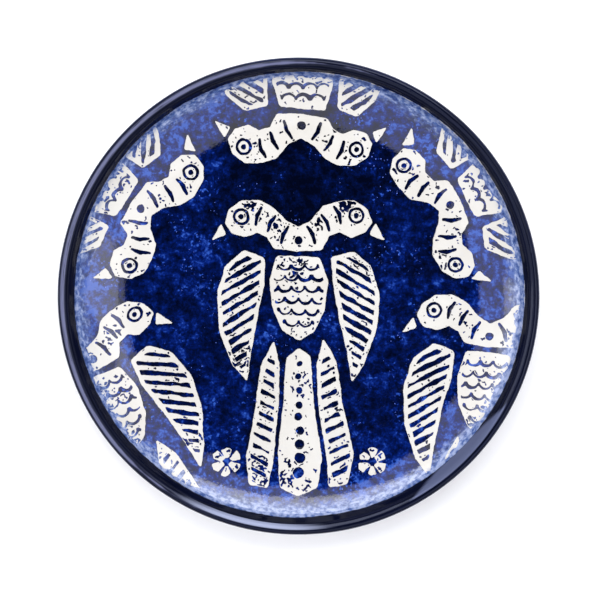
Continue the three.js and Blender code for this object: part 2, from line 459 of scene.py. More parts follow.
def make_stencil():
    """The motif as a field of signed distance: above 0 is blue, below 0 is white."""
    hand = np.random.default_rng(21)
    stencil = np.full((len(STENCIL_Y), len(STENCIL_X)), FAR)
    for half in HALF_OUTLINES:
        leave_white(stencil, hand_cut(mirrored(half), hand))
    body = hand_cut(mirrored(BODY), hand)
    leave_white(stencil, body)
    paint_blue(stencil, body, lambda x, y: -scales(x, y, body))
    for middle_x, middle_y, radius in [BREAST_DOT, *TAIL_DOTS]:
        paint_dot(stencil, hand.uniform(-0.5, 0.5, 2) + (middle_x, middle_y), radius)
    for side in (1, -1):
        for outline in [BEAK, *flower_petals()]:
            leave_white(stencil, hand_cut(np.array(outline) * (side, 1), hand))
        for outline, bars in ((WING, WING_BARS), (TAIL_SIDE, TAIL_BARS)):
            feathered = hand_cut(np.array(outline) * (side, 1), hand)
            leave_white(stencil, feathered)
            paint_blue(stencil, feathered, lambda x, y, o=feathered, b=bars: -feathers(x, y, o, *b))
        for stroke in COLLARS:
            wander = hand.uniform(-0.4, 0.4, 2)
            sided = [(side * x + wander[0], y + wander[1], half) for x, y, half in stroke]
            paint_blue(stencil, [p[:2] for p in sided], lambda x, y, s=sided: distance_to_stroke(x, y, s))
        eye = hand.uniform(-0.4, 0.4, 2) + (side * EYE[0], EYE[1])
        paint_dot(stencil, eye, EYE[2])
        paint_ring(stencil, eye, EYE_RING)
    return blurred(stencil, 0.2)


def blurred(field, width):
    """A field smoothed by a width in millimetres."""
    half = int(math.ceil(3 * width / STENCIL_STEP))
    kernel = bell_weights(half, STENCIL_STEP, width)
    padded = np.pad(field, half, mode="edge")
    rows = sum(k * padded[i:i + field.shape[0], :] for i, k in enumerate(kernel))
    return sum(k * rows[:, i:i + field.shape[1]] for i, k in enumerate(kernel))


def sampled(field, x, y, first, step):
    """A field read between its grid points."""
    u = np.clip((np.asarray(x) - first[0]) / step, 0, field.shape[1] - 1.001)
    v = np.clip((np.asarray(y) - first[1]) / step, 0, field.shape[0] - 1.001)
    iu, iv = u.astype(int), v.astype(int)
    fu, fv = u - iu, v - iv
    low = field[iv, iu] * (1 - fu) + field[iv, iu + 1] * fu
    high = field[iv + 1, iu] * (1 - fu) + field[iv + 1, iu + 1] * fu
    return low * (1 - fv) + high * fv


# ---- the painted field over the whole face --------------------------------------------------

FIELD_STEP = 0.2
FIELD_REACH = LIP_FOOT_R + 3
FIELD_AXIS = np.arange(-FIELD_REACH, FIELD_REACH, FIELD_STEP)
FIELD_FIRST = (FIELD_AXIS[0], FIELD_AXIS[0])
BORDER = 119.6  # the birds end at the blue border here
BROAD_WANDER, FINE_WANDER = 0.9, 0.22  # how far a painted line strays in all, and how it shakes


def specks(noise, radius, local_x, local_y, thickness, seed):
    """Beads of blue left on the white, thick where the brush dragged."""
    density = 0.06 + 0.06 * noise(14, seed)
    uneven = 0.8 + 0.7 * noise(4.5, seed + 1)
    for centre_x, centre_y, reach, amount in SPECK_ZONES:
        near = np.exp(-((np.abs(local_x) - centre_x) ** 2 + (local_y - centre_y) ** 2) / reach ** 2)
        density = np.maximum(density, thickness * amount * near * uneven)
    density = density + 0.22 * ramp(radius, 112, 120) * uneven
    grain = noise(0.72, seed + 2) + 0.4 * noise(1.7, seed + 3)
    return 0.9 * (grain - 0.93 + 2.0 * density)


def make_field():
    """Signed distance over the face, above 0 where the cobalt lies, and whose bird is where."""
    everywhere = np.meshgrid(FIELD_AXIS, FIELD_AXIS)
    field = np.full(everywhere[0].shape, FAR)
    owner = np.full(field.shape, -1)
    stencil = make_stencil()
    for number, (_, turn, shift_x, shift_y, thickness) in enumerate(PLACEMENTS):
        turn = math.radians(turn)
        across = np.hypot(STENCIL_X[-1], -STENCIL_Y[0])
        columns = slice(*np.searchsorted(FIELD_AXIS, (shift_x - across, shift_x + across)))
        rows = slice(*np.searchsorted(FIELD_AXIS, (shift_y - across, shift_y + across)))
        x, y = (axis[rows, columns] for axis in everywhere)

        def noise(cell, seed, columns=columns, rows=rows):
            return grid_noise(FIELD_AXIS[columns], FIELD_AXIS[rows], cell, seed)

        value = painted(noise, x, y, turn, shift_x, shift_y, thickness, stencil, 100 + 10 * number)
        nearer = value < field[rows, columns]
        owner[rows, columns][nearer & (value < 3)] = number
        field[rows, columns][nearer] = value[nearer]
    rough = 1.3 * grid_noise(FIELD_AXIS, FIELD_AXIS, 6, 90)
    rough = rough + 0.9 * grid_noise(FIELD_AXIS, FIELD_AXIS, 1.5, 91)
    fade = np.hypot(*everywhere) - BORDER + rough
    return np.maximum(field, np.clip(fade, -FAR, FAR)), owner


def painted(noise, x, y, turn, shift_x, shift_y, thickness, stencil, seed):
    """The motif's field where one bird is painted, wandering as a hand does, with its specks."""
    dx = x - shift_x + BROAD_WANDER * noise(17, seed) + FINE_WANDER * noise(2.1, seed + 1)
    dy = y - shift_y + BROAD_WANDER * noise(17, seed + 2) + FINE_WANDER * noise(2.1, seed + 3)
    local_x = math.cos(turn) * dx + math.sin(turn) * dy
    local_y = math.cos(turn) * dy - math.sin(turn) * dx
    inside = (np.abs(local_x) < MOTIF_HALF_WIDTH) & (local_y > MOTIF_FOOT) & (local_y < MOTIF_TOP)
    value = sampled(stencil, local_x, local_y, (STENCIL_X[0], STENCIL_Y[0]), STENCIL_STEP)
    value = np.where(inside, value, FAR) + 0.16 * noise(0.9, seed + 4)
    beads = specks(noise, np.hypot(x, y), local_x, local_y, thickness, seed + 5)
    return np.where(value < -0.3, np.maximum(value, np.minimum(beads, -value)), value)


FIELD, OWNER = make_field()
EDGE_WIDTH = 0.32  # how far in from its edge the cobalt is rounded
EDGE_SHINE = 0.12  # the part of that rounding that turns the shine


def relief(value):
    """Height of the cobalt above the white for a field value."""
    t = np.clip(value / EDGE_WIDTH, 0, 1)
    return COBALT_COAT * (1 - (1 - t) ** 2)


# ---- contours of the field ------------------------------------------------------------------

# For each mix of corners above the level, the cell sides that a contour enters and leaves by,
# with the high side on its left. Sides: 0 low row, 1 high column, 2 high row, 3 low column.
CELL_SEGMENTS = {
    1: [(0, 3)], 2: [(1, 0)], 3: [(1, 3)], 4: [(2, 1)], 5: [(0, 3), (2, 1)], 6: [(2, 0)],
    7: [(2, 3)], 8: [(3, 2)], 9: [(0, 2)], 10: [(1, 0), (3, 2)], 11: [(1, 2)], 12: [(3, 1)],
    13: [(0, 1)], 14: [(3, 0)],
}


def contours(field, level):
    """Closed loops along a level of the field, in plan millimetres."""
    above = field > level
    rows, columns = field.shape
    count = rows * columns
    number = np.arange(count).reshape(rows, columns)
    low, high = number[:-1, :-1], number[1:, 1:]
    side_ids = [low, number[:-1, 1:] + count, number[1:, :-1], low + count]
    code = above[:-1, :-1] + 2 * above[:-1, 1:] + 4 * above[1:, 1:] + 8 * above[1:, :-1]
    following = np.full(2 * count, -1)
    for mix, segments in CELL_SEGMENTS.items():
        cells = code == mix
        for start, end in segments:
            following[side_ids[start][cells]] = side_ids[end][cells]
    return [side_points(loop, field, level) for loop in linked(following)]


def linked(following):
    """Closed chains of a map from each item to the next."""
    starts = np.flatnonzero(following >= 0)
    steps = dict(zip(starts.tolist(), following[starts].tolist()))
    while steps:
        start, item = steps.popitem()
        loop = [start]
        while item != start and item in steps:
            loop.append(item)
            item = steps.pop(item)
        if item == start and len(loop) > 3:
            yield np.array(loop)


def side_points(sides, field, level):
    """Where the level crosses numbered cell sides."""
    rows, columns = field.shape
    upright = sides >= rows * columns
    row, column = np.divmod(sides % (rows * columns), columns)
    here = field[row, column]
    there = np.where(
        upright,
        field[np.minimum(row + 1, rows - 1), column],
        field[row, np.minimum(column + 1, columns - 1)])
    part = (level - here) / np.where(there == here, 1, there - here)
    x = FIELD_AXIS[column] + np.where(upright, 0, part * FIELD_STEP)
    y = FIELD_AXIS[row] + np.where(upright, part * FIELD_STEP, 0)
    return np.column_stack([x, y])


def respaced(loop, spacing):
    """A closed loop with its points at an even spacing, or None when it is too small."""
    closed = np.vstack([loop, loop[:1]])
    along = lengths_along(closed)
    if along[-1] < 2.4 * spacing:
        return None
    count = max(int(round(along[-1] / spacing)), 5)
    places = np.linspace(0, along[-1], count, endpoint=False)
    return np.column_stack([np.interp(places, along, closed[:, k]) for k in range(2)])


# ---- meshes ---------------------------------------------------------------------------------

def make_piece(name, points_mm, faces, slot, nodes, normals=None):
    """A smooth shaded mesh object that rides on the plate and stands for some CAD nodes."""
    mesh = bpy.data.meshes.new(name)
    mesh.from_pydata((np.asarray(points_mm) * MM).tolist(), [], faces)
    mesh.validate()
    mesh.shade_smooth()
    if normals is not None:
        mesh.normals_split_custom_set_from_vertices(normals.tolist())
    piece = bpy.data.objects.new(name, mesh)
    bpy.context.scene.collection.objects.link(piece)
    mesh.materials.append(MATERIALS[slot])
    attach(piece, "root")
    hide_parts(*nodes)
    return piece


def add_numbers(piece, name, values):
    attribute = piece.data.attributes.new(name, "FLOAT", "POINT")
    attribute.data.foreach_set("value", np.asarray(values, np.float32))


def ring_faces(profile_count, around, closed):
    """Quads of a turned grid whose vertices run round the profile first."""
    faces = []
    last = profile_count if closed else profile_count - 1
    for i in range(around):
        here, beyond = i * profile_count, ((i + 1) % around) * profile_count
        for k in range(last):
            next_k = (k + 1) % profile_count
            faces.append((here + k, beyond + k, beyond + next_k, here + next_k))
    return faces


def turned_piece(name, rows, slot, nodes):
    """A closed turned solid from one profile (radius, height) for each step round the axis."""
    around, count = rows.shape[:2]
    angles = turn_angles(around)
    x = rows[:, :, 0] * np.cos(angles)[:, None]
    y = rows[:, :, 0] * np.sin(angles)[:, None]
    points = np.stack([x, y, rows[:, :, 1]], axis=2).reshape(-1, 3)
    return make_piece(name, points, ring_faces(count, around, True), slot, nodes)


def coat_piece(name, slot, nodes, start, end, thickness, around=480, steps=64):
    """A coat on the turned surface between two edges that may wander round the plate."""
    angles = turn_angles(around)
    t = (1 - np.cos(np.linspace(0, math.pi, steps))) / 2
    along = start(angles)[:, None] + (end(angles) - start(angles))[:, None] * t
    over_r, over_z = on_path(along, thickness(along, angles[:, None]))
    under_r, under_z = on_path(along[:, ::-1], -SUNK)
    rows = np.stack([np.hstack([over_r, under_r]), np.hstack([over_z, under_z])], axis=2)
    piece = turned_piece(name, rows, slot, nodes)
    numbers = np.hstack([along, along[:, ::-1]]).reshape(-1)
    add_numbers(piece, "along", (numbers - CREST_ALONG) * MM)


# ---- the cobalt coat ------------------------------------------------------------------------

# Levels of the field that the mesh follows, each with the spacing of its points.
RELIEF_LEVELS = ((0.0, 0.40), (0.12, 0.42), (EDGE_WIDTH, 0.6))
OPEN_SPACING = 2.6  # spacing of points in open blue,
BORDER_SPACING = 1.3  # and beyond this radius
BORDER_FROM = 110
COAT_EDGE = LIP_FOOT_R + 1.7
COAT_EDGE_POINTS = 900


def field_at(points):
    return sampled(FIELD, points[:, 0], points[:, 1], FIELD_FIRST, FIELD_STEP)


def open_points():
    """Staggered points over the open blue, closer together near the border."""
    found = []
    rings = ((OPEN_SPACING, 0, BORDER_FROM), (BORDER_SPACING, BORDER_FROM, COAT_EDGE - 0.8))
    for spacing, low, high in rings:
        rows = np.arange(-high, high, spacing * 0.87)
        columns = np.arange(-high, high, spacing)
        x, y = np.meshgrid(columns, rows)
        x = x + np.where(np.arange(len(rows)) % 2, 0.5 * spacing, 0)[:, None]
        points = np.column_stack([x.ravel(), y.ravel()])
        radius = np.hypot(points[:, 0], points[:, 1])
        points = points[(radius > low) & (radius < high)]
        found.append(points[field_at(points) > EDGE_WIDTH + 0.45 * spacing])
    return np.vstack(found)


def triangulated(points, edges):
    """A constrained triangulation: its points, and its triangles turned counterclockwise."""
    verts, _, faces, *_ = delaunay_2d_cdt(points.tolist(), edges, [], 0, 1e-5)
    corners = np.array([tuple(f) for f in faces if len(f) == 3])
    places = np.array(verts)[:, :2]
    a, b, c = (places[corners[:, k]] for k in range(3))
    area = (b[:, 0] - a[:, 0]) * (c[:, 1] - a[:, 1]) - (b[:, 1] - a[:, 1]) * (c[:, 0] - a[:, 0])
    corners[area < 0] = corners[area < 0][:, ::-1]
    return places, corners[np.abs(area) > 1e-9]


def blue_part(places, corners):
    """The triangles that lie on the cobalt."""
    strength = field_at(places)
    at_centre = field_at(places[corners].mean(axis=1))
    return corners[(strength[corners].max(axis=1) > 0.1) | (at_centre > 0)]


def open_edges(corners):
    """Directed sides that belong to one triangle only."""
    sides = np.vstack([corners[:, [0, 1]], corners[:, [1, 2]], corners[:, [2, 0]]])
    keys = {tuple(side) for side in sides.tolist()}
    return [side for side in keys if side[::-1] not in keys]


def cobalt_mesh():
    """The whole cobalt coat: plan points, heights, triangles of its top and of its underside."""
    loops = [r for level, gap in RELIEF_LEVELS for c in contours(FIELD, level)
             if (r := respaced(c, gap)) is not None]
    turn = turn_angles(COAT_EDGE_POINTS)
    loops.append(COAT_EDGE * np.column_stack([np.cos(turn), np.sin(turn)]))
    inner = open_points()
    edges, base = [], 0
    for loop in loops:
        count = len(loop)
        edges += [(base + i, base + (i + 1) % count) for i in range(count)]
        base += count
    places, corners = triangulated(np.vstack(loops + [inner]), edges)
    top = blue_part(places, corners)
    border = open_edges(top)
    rim = sorted({v for side in border for v in side})
    number = {v: i for i, v in enumerate(rim)}
    under_edges = [(number[a], number[b]) for a, b in border]
    under_places, under = triangulated(np.vstack([places[rim], inner]), under_edges)
    under = blue_part(under_places, under)
    joined = np.arange(len(under_places)) + len(places)
    joined[:len(rim)] = rim
    on_rim = np.zeros(len(places) + len(under_places), bool)
    on_rim[rim] = True
    on_rim[len(places):] = True
    return np.vstack([places, under_places]), on_rim, top, joined[under][:, ::-1]


def islands(corners, count):
    """A number for each vertex's connected island."""
    label = np.arange(count)
    while True:
        least = label[corners].min(axis=1)
        fresh = label.copy()
        for k in range(3):
            np.minimum.at(fresh, corners[:, k], least)
        fresh = fresh[fresh]
        if (fresh == label).all():
            return label
        label = fresh


def slopes(function, x, y, reach):
    """Slopes of a function of the plan position."""
    slope_x = (function(x + reach, y) - function(x - reach, y)) / (2 * reach)
    slope_y = (function(x, y + reach) - function(x, y - reach)) / (2 * reach)
    return slope_x, slope_y


def relief_over(x, y):
    return relief(sampled(FIELD, x, y, FIELD_FIRST, FIELD_STEP))


def vertex_owners(places, corners):
    """Whose brushwork each vertex belongs to, -1 for the large blue ground."""
    label = islands(corners, len(places))
    used = np.bincount(label[corners[:, 0]], minlength=len(places))
    last = len(FIELD_AXIS) - 1
    column, row = (np.searchsorted(FIELD_AXIS, places[:, k]).clip(0, last) for k in range(2))
    return np.where(label == int(np.argmax(used)), -1, OWNER[row, column][label].clip(0))


def cobalt_normals(x, y, top, under):
    """Normals of the coat, turned over where only its underside uses a vertex."""
    wave_x, wave_y = slopes(unevenness, x, y, 0.4)
    edge_x, edge_y = slopes(relief_over, x, y, 0.12)
    normals = face_normals(x, y, wave_x + EDGE_SHINE * edge_x, wave_y + EDGE_SHINE * edge_y)
    underside = np.zeros(len(x), bool)
    underside[under.ravel()] = True
    underside[top.ravel()] = False
    normals[underside] *= -1
    return normals


def make_cobalt():
    """The blue ground as one piece, and each bird's brushwork as one piece of islands."""
    places, sunk, top, under = cobalt_mesh()
    x, y = places.T
    height = WHITE_COAT + unevenness(x, y) + np.where(sunk, -SUNK, relief_over(x, y))
    points = lifted(x, y, height)
    normals = cobalt_normals(x, y, top, under)
    corners = np.vstack([top, under])
    owner = vertex_owners(places, corners)
    names = ["cobalt_ground"] + ["brushwork_" + name for name, *_ in PLACEMENTS]
    for number, name in enumerate(names, start=-1):
        mine = corners[owner[corners[:, 0]] == number]
        kept, faces = np.unique(mine, return_inverse=True)
        faces = faces.reshape(-1, 3).tolist()
        piece = make_piece(name, points[kept], faces, "cobalt_glaze", ["cobalt_glaze"], normals[kept])
        add_numbers(piece, "pooled", 1 - ramp(field_at(places[kept]), 0.3, 2.2))


# ---- the other coats and the clay -----------------------------------------------------------

def circle_noise(angles, cell, seed):
    """Noise round the plate that closes on itself."""
    return smooth_noise(RIM_RADIUS * np.cos(angles), RIM_RADIUS * np.sin(angles), cell, seed)


def capped_piece(name, profile, slot, nodes, around, height_of=None):
    """A closed solid turned from a profile that starts and ends on the axis."""
    angles = turn_angles(around)
    body = profile[1:-1]
    r, z = np.tile(body[:, 0], (around, 1)), np.tile(body[:, 1], (around, 1))
    x, y = r * np.cos(angles)[:, None], r * np.sin(angles)[:, None]
    if height_of:
        z = z + height_of(x, y, np.arange(len(body)))
    points = np.stack([x, y, z], axis=2).reshape(-1, 3)
    faces = ring_faces(len(body), around, False)
    first, last = len(points), len(points) + 1
    ends = [(0, 0, profile[0][1]), (0, 0, profile[-1][1])]
    for i in range(around):
        here, beyond = i * len(body), ((i + 1) % around) * len(body)
        faces.append((first, beyond, here))
        faces.append((last, here + len(body) - 1, beyond + len(body) - 1))
    return make_piece(name, np.vstack([points, ends]), faces, slot, nodes)


def make_white():
    top_along = np.concatenate([np.arange(0, LIP_FOOT_ALONG + 2.6, 1.4), [LIP_FOOT_ALONG + 4.2]])
    under_along = top_along[::-3]
    top = np.column_stack(on_path(top_along, WHITE_COAT))
    under = np.column_stack(on_path(under_along, -SUNK))
    under[-1, 0] = 0
    profile = np.vstack([top, under, [[0, FLOOR_TOP - SUNK]]])
    is_top = np.arange(1, len(profile) - 1) < len(top)

    def waved(x, y, columns):
        return np.where(is_top[columns], unevenness(x, y), 0)

    capped_piece("white_ground", profile, "white_glaze", ["white_glaze"], 360, waved)


def make_band():
    def start(angles):
        brush = 0.5 * circle_noise(angles, 9, 31) + 0.35 * circle_noise(angles, 1.6, 32)
        short = 2.1 * ramp(np.cos(angles - math.radians(40)), -0.1, 0.8)
        return BAND_START_ALONG + brush + short

    def end(angles):
        drips = 1.4 * ramp(circle_noise(angles, 11, 35), 0.35, 1.2)
        return BAND_END_ALONG + 0.5 * circle_noise(angles, 16, 33) + drips

    def thickness(along, angles):
        x, y = plan_at(along, angles)
        first, last = start(angles), end(angles)
        face = 1 - ramp(along, LIP_FOOT_ALONG + 3, LIP_FOOT_ALONG + 7)
        rise = 0.62 + 0.30 * ramp(along - first, 0, 0.9)
        rise += (BAND_COAT - 0.92) * ramp(along, LIP_FOOT_ALONG + 2, CREST_ALONG - 2)
        roll = 0.15 * ramp(along, last - 3.5, last - 0.7)
        fall = 1 - 0.75 * ramp(along, last - 0.7, last)
        strokes = 0.025 * smooth_noise(along, circle_noise(angles, 30, 36) * 4, 0.8, 37)
        return (rise + face * unevenness(x, y) + strokes + roll) * fall - crest_chips(along, angles)

    coat_piece("rim_band_glaze", "band_glaze", ["rim_band"], start, end, thickness, 720, 72)


# Small nicks in the lip's glaze: angle in degrees, distance over the crest, size.
CHIPS = [
    (103, -0.6, 1.1), (62, -0.4, 0.8), (128, 0.3, 0.7), (171, -0.3, 0.6), (214, 0.2, 0.9),
    (232, 0.4, 1.2), (247, 0.1, 0.8), (281, 0.3, 0.6), (318, 0.5, 0.7), (12, 0.2, 0.6),
]


def crest_chips(along, angles):
    """How deep the nicks cut into the band."""
    depth = np.zeros(np.broadcast(along, angles).shape)
    for degrees, offset, size in CHIPS:
        around = (angles - math.radians(degrees) + math.pi) % (2 * math.pi) - math.pi
        far = np.hypot(around * RIM_RADIUS / 1.6, along - CREST_ALONG - offset)
        depth += 0.3 * size * np.exp(-(far / (0.55 * size)) ** 4)
    return depth


def make_back():
    last = PATH_ALONG[-1]

    def start(angles):
        return BAND_END_ALONG - 2.0 + 0 * angles

    def end(angles):
        return last - 2.6 + 0.9 * circle_noise(angles, 22, 41) + 0.3 * circle_noise(angles, 4, 42)

    def thickness(along, angles):
        x, y = plan_at(along, angles)
        edge = end(angles)
        rings = 0.06 * np.sin(along * 1.15 + 1.2 * smooth_noise(x, y, 35, 43))
        roll = 0.22 * ramp(along, edge - 3.5, edge - 0.8) - 0.75 * ramp(along, edge - 0.8, edge)
        return BACK_COAT + rings + 0.07 * smooth_noise(x, y, 14, 44) + roll

    coat_piece("back_coat", "back_glaze", ["back_glaze"], start, end, thickness, 480, 72)


def make_clay_body():
    under = np.array([[70, FOOT_TOP], [35, FOOT_TOP], [0, FOOT_TOP]])
    outline = np.vstack([PATH[::4], under])
    capped_piece("clay_shell", outline, "clay", ["clay_body"], 360)


def make_foot():
    inner, height = FOOT_OUTER - FOOT_WIDTH, FOOT_TOP
    corners = [
        (inner + 0.3, height + 0.05), (inner + 0.1, 1.4), (inner + 0.6, 0.5), (inner + 1.5, 0.0),
        (FOOT_OUTER - 1.5, 0.0), (FOOT_OUTER - 0.5, 0.5), (FOOT_OUTER - 0.05, 1.5),
        (FOOT_OUTER - 0.2, 3.4), (FOOT_OUTER + 0.5, height + 0.05),
    ]
    profile = evened(np.array(corners), 0.35)
    angles = turn_angles(360)
    rows = np.tile(profile, (len(angles), 1, 1))
    side = ramp(profile[:, 1], 0.4, 1.6)
    ridges = 0.07 * np.sin(profile[:, 1] * 5.2)[None, :]
    ridges = ridges + 0.10 * circle_noise(angles, 13, 51)[:, None]
    rows[:, :, 0] += ridges * side
    turned_piece("foot_clay", rows, "clay", ["foot_ring"])


def make_foot_well():
    radius = FOOT_OUTER - FOOT_WIDTH - 0.15
    low = FOOT_TOP - BACK_COAT
    r = np.concatenate([np.arange(0, radius - 2, 1.1), radius - np.array([1.8, 1.2, 0.7, 0.3, 0])])
    pooled = low - 0.5 * ramp(r, radius - 3, radius)
    skin = np.column_stack([r, pooled])
    buried = [[r, FOOT_TOP + SUNK] for r in (radius, radius / 2, 0)]
    profile = np.vstack([skin, buried])[::-1]
    is_skin = np.arange(1, len(profile) - 1) > 2

    def marks(x, y, columns):
        distance, angle = np.hypot(x, y), np.arctan2(y, x)
        spiral = 0.05 * np.sin(distance * 1.4 - angle) + 0.06 * smooth_noise(x, y, 16, 61)
        return np.where(is_skin[columns], spiral * ramp(radius - distance, 0, 4), 0)

    capped_piece("foot_well_coat", profile, "back_glaze", ["foot_well_glaze"], 240, marks)


# ---- materials ------------------------------------------------------------------------------

class Nodes:
    """A node tree, with short ways to add to it."""

    def __init__(self, tree):
        self.tree = tree

    def add(self, kind, settings=(), **inputs):
        node = self.tree.nodes.new(kind)
        for setting, value in dict(settings).items():
            setattr(node, setting, value)
        for socket, value in inputs.items():
            self.feed(node.inputs[socket.replace("_", " ")], value)
        return node

    def feed(self, socket, value):
        if isinstance(value, bpy.types.NodeSocket):
            self.tree.links.new(value, socket)
        else:
            socket.default_value = value

    def math(self, operation, *values):
        node = self.add("ShaderNodeMath", {"operation": operation})
        for socket, value in zip(node.inputs, values):
            self.feed(socket, value)
        return node.outputs[0]

    def plus(self, total, *others):
        for other in others:
            total = self.math("ADD", total, other)
        return total

    def times(self, product, *others):
        for other in others:
            product = self.math("MULTIPLY", product, other)
        return product

    def vector(self, operation, *values, **inputs):
        node = self.add("ShaderNodeVectorMath", {"operation": operation}, **inputs)
        for socket, value in zip(node.inputs, values):
            self.feed(socket, value)
        is_number = operation in ("LENGTH", "DISTANCE", "DOT_PRODUCT")
        return node.outputs["Value" if is_number else "Vector"]

    def between(self, value, low, high, to_low=0.0, to_high=1.0):
        """A smooth step from one value to another as the given value goes from low to high."""
        node = self.add(
            "ShaderNodeMapRange", {"interpolation_type": "SMOOTHSTEP"}, Value=value,
            From_Min=low, From_Max=high, To_Min=to_low, To_Max=to_high)
        return node.outputs["Result"]


class Finish(Nodes):
    """A material built node by node, read in millimetres."""

    def __init__(self, name, roughness, **constants):
        self.material = bpy.data.materials.new(name)
        self.material.use_nodes = True
        super().__init__(self.material.node_tree)
        self.shader = self.tree.nodes["Principled BSDF"]
        self.shader.inputs["Roughness"].default_value = roughness
        for socket, value in constants.items():
            self.shader.inputs[socket.replace("_", " ")].default_value = value
        place = self.add("ShaderNodeTexCoord").outputs["Object"]
        self.place = self.vector("SCALE", place, Scale=1 / MM)

    def noise(self, size, detail=2.0, roughness=0.5, at=None, offset=0.0):
        """Noise from 0 to 1 with features of a size in millimetres."""
        at = at or self.place
        if offset:
            at = self.vector("ADD", at, (offset, -offset, 0.5 * offset))
        node = self.add("ShaderNodeTexNoise", Vector=at, Scale=1 / size, Detail=detail, Roughness=roughness)
        return node.outputs["Fac"]

    def ramp(self, value, stops):
        node = self.add("ShaderNodeValToRGB", Fac=value)
        elements = node.color_ramp.elements
        while len(elements) < len(stops):
            elements.new(0.5)
        for element, (position, colour) in zip(elements, stops):
            element.position = position
            element.color = (*colour, 1)
        return node.outputs["Color"]

    def mix(self, amount, first, second):
        node = self.add("ShaderNodeMix", {"data_type": "RGBA"})
        self.feed(node.inputs["Factor"], amount)
        colours = [s for s in node.inputs if s.type == "RGBA"]
        for socket, value in zip(colours, (first, second)):
            self.feed(socket, (*value, 1) if isinstance(value, tuple) else value)
        return next(s for s in node.outputs if s.type == "RGBA")

    def attribute(self, name):
        return self.add("ShaderNodeAttribute", {"attribute_name": name}).outputs["Fac"]

    def flat(self):
        """The place without its height."""
        return self.vector("MULTIPLY", self.place, (1, 1, 0))

    def radius(self):
        return self.vector("LENGTH", self.flat())

    def streaks(self, length, width, offset=0.0):
        """Noise drawn out round the plate, as a brush on a turning wheel leaves it."""
        round_it = self.vector("SCALE", self.vector("NORMALIZE", self.flat()), Scale=RIM_RADIUS / length)
        out = self.add("ShaderNodeCombineXYZ", Z=self.times(self.radius(), 1 / width))
        at = self.vector("ADD", self.vector("ADD", round_it, out.outputs[0]), (offset, 0, offset))
        return self.noise(1.0, 3.0, 0.6, at=at)

    def uneven_shine(self, size, offset, smoothest, roughest):
        """Roughness that varies in patches of a size."""
        return self.between(self.noise(size, 3, 0.6, offset=offset), 0.3, 0.7, smoothest, roughest)

    def done(self, colour, roughness=None, bump=None, depth=0.05):
        self.feed(self.shader.inputs["Base Color"], colour)
        if roughness is not None:
            self.feed(self.shader.inputs["Roughness"], roughness)
        if bump is not None:
            node = self.add("ShaderNodeBump", Height=bump, Strength=1.0, Distance=depth * MM)
            self.feed(self.shader.inputs["Normal"], node.outputs["Normal"])
        return self.material


def direction(degrees):
    return (math.cos(math.radians(degrees)), math.sin(math.radians(degrees)), 0)


DARK_FIRING = (4, 66, 0)  # where the kiln left the cobalt near black
DARK_REACH = (22, 62)  # how far that reaches, fully and at most
THINNING = (84, 106)  # between these radii the cobalt runs thin and paler


def wash_and_sheen(finish, start, end):
    """How thin the blue border's paint lies near the band, in blotches, with a painted reflection that
    leaves it paler towards the bottom of the plate than at its top.
    """
    blotch = finish.streaks(3.6, 1.7, 11.0)
    spread = finish.noise(26, 2, 0.5, offset=70)
    reach = finish.plus(finish.radius(), finish.times(spread, 8.0), finish.times(blotch, 6.0))
    thinner = finish.between(finish.radius(), 115, 121, 0.0, 0.07)
    # Painted reflection: the far light mirrored in the lower wall, painted in as a paler wash towards the
    # bottom and less of it towards the top.
    towards_top = finish.vector("DOT_PRODUCT", finish.place, (-0.35, 1, 0))
    sheen_fades_upward = finish.between(towards_top, -75, 0, 0.0, -0.075)
    paleness_and_sheen = finish.plus(blotch, finish.plus(thinner, sheen_fades_upward))
    return finish.between(reach, start + 7, end + 7), paleness_and_sheen


def cobalt_finish():
    finish = Finish("cobalt_glaze_finish", 0.08, IOR=1.6)
    depth = 0.5
    for size, detail, weight, offset in ((15, 3, 1.2, 0), (4.2, 4, 1.6, 40), (1.4, 2, 0.75, 90)):
        part = finish.times(finish.noise(size, detail, 0.6, offset=offset), weight)
        depth = finish.plus(depth, finish.math("SUBTRACT", part, weight / 2))
    gather = finish.between(finish.noise(17, 2, 0.5, offset=15), 0.46, 0.62)
    blotches = finish.between(finish.noise(2.3, 1.5, 0.5, offset=66), 0.56, 0.70)
    depth = finish.plus(depth, finish.times(gather, blotches, 0.55))
    from_dark = finish.vector("DISTANCE", finish.flat(), DARK_FIRING)
    depth = finish.math("SUBTRACT", depth, finish.between(from_dark, *DARK_REACH, 0.30, 0.0))
    depth = finish.plus(depth, finish.between(finish.radius(), *THINNING, 0.0, 0.25))
    depth = finish.math("SUBTRACT", depth, finish.times(finish.attribute("pooled"), 0.14))
    colour = finish.ramp(depth, [
        (0.05, (0.0002, 0.0012, 0.008)), (0.34, (0.0004, 0.0030, 0.027)),
        (0.58, (0.0006, 0.0056, 0.066)), (0.78, (0.0024, 0.016, 0.160)), (1.0, (0.026, 0.085, 0.40)),
    ])
    cells = finish.add("ShaderNodeTexVoronoi", Vector=finish.place, Scale=0.62)
    dots = finish.math("LESS_THAN", cells.outputs["Distance"], finish.times(gather, 0.20))
    few = finish.math("GREATER_THAN", finish.noise(2.4, 0, 0.5, offset=29), 0.62)
    colour = finish.mix(finish.times(dots, few), colour, (0.10, 0.16, 0.58))
    # The pale wash by the band is partly thin paint and partly painted reflection, paler towards the
    # bottom.
    thin, blotch = wash_and_sheen(finish, 112.5, 119.5)
    pale = finish.ramp(blotch, [
        (0.32, (0.008, 0.030, 0.16)), (0.46, (0.060, 0.115, 0.32)), (0.64, (0.31, 0.37, 0.58)),
    ])
    colour = finish.mix(thin, colour, pale)
    roughness = finish.uneven_shine(3.6, 40, 0.02, 0.07)
    return finish.done(colour, roughness, finish.noise(1.3, 2, 0.5, offset=22), 0.02)


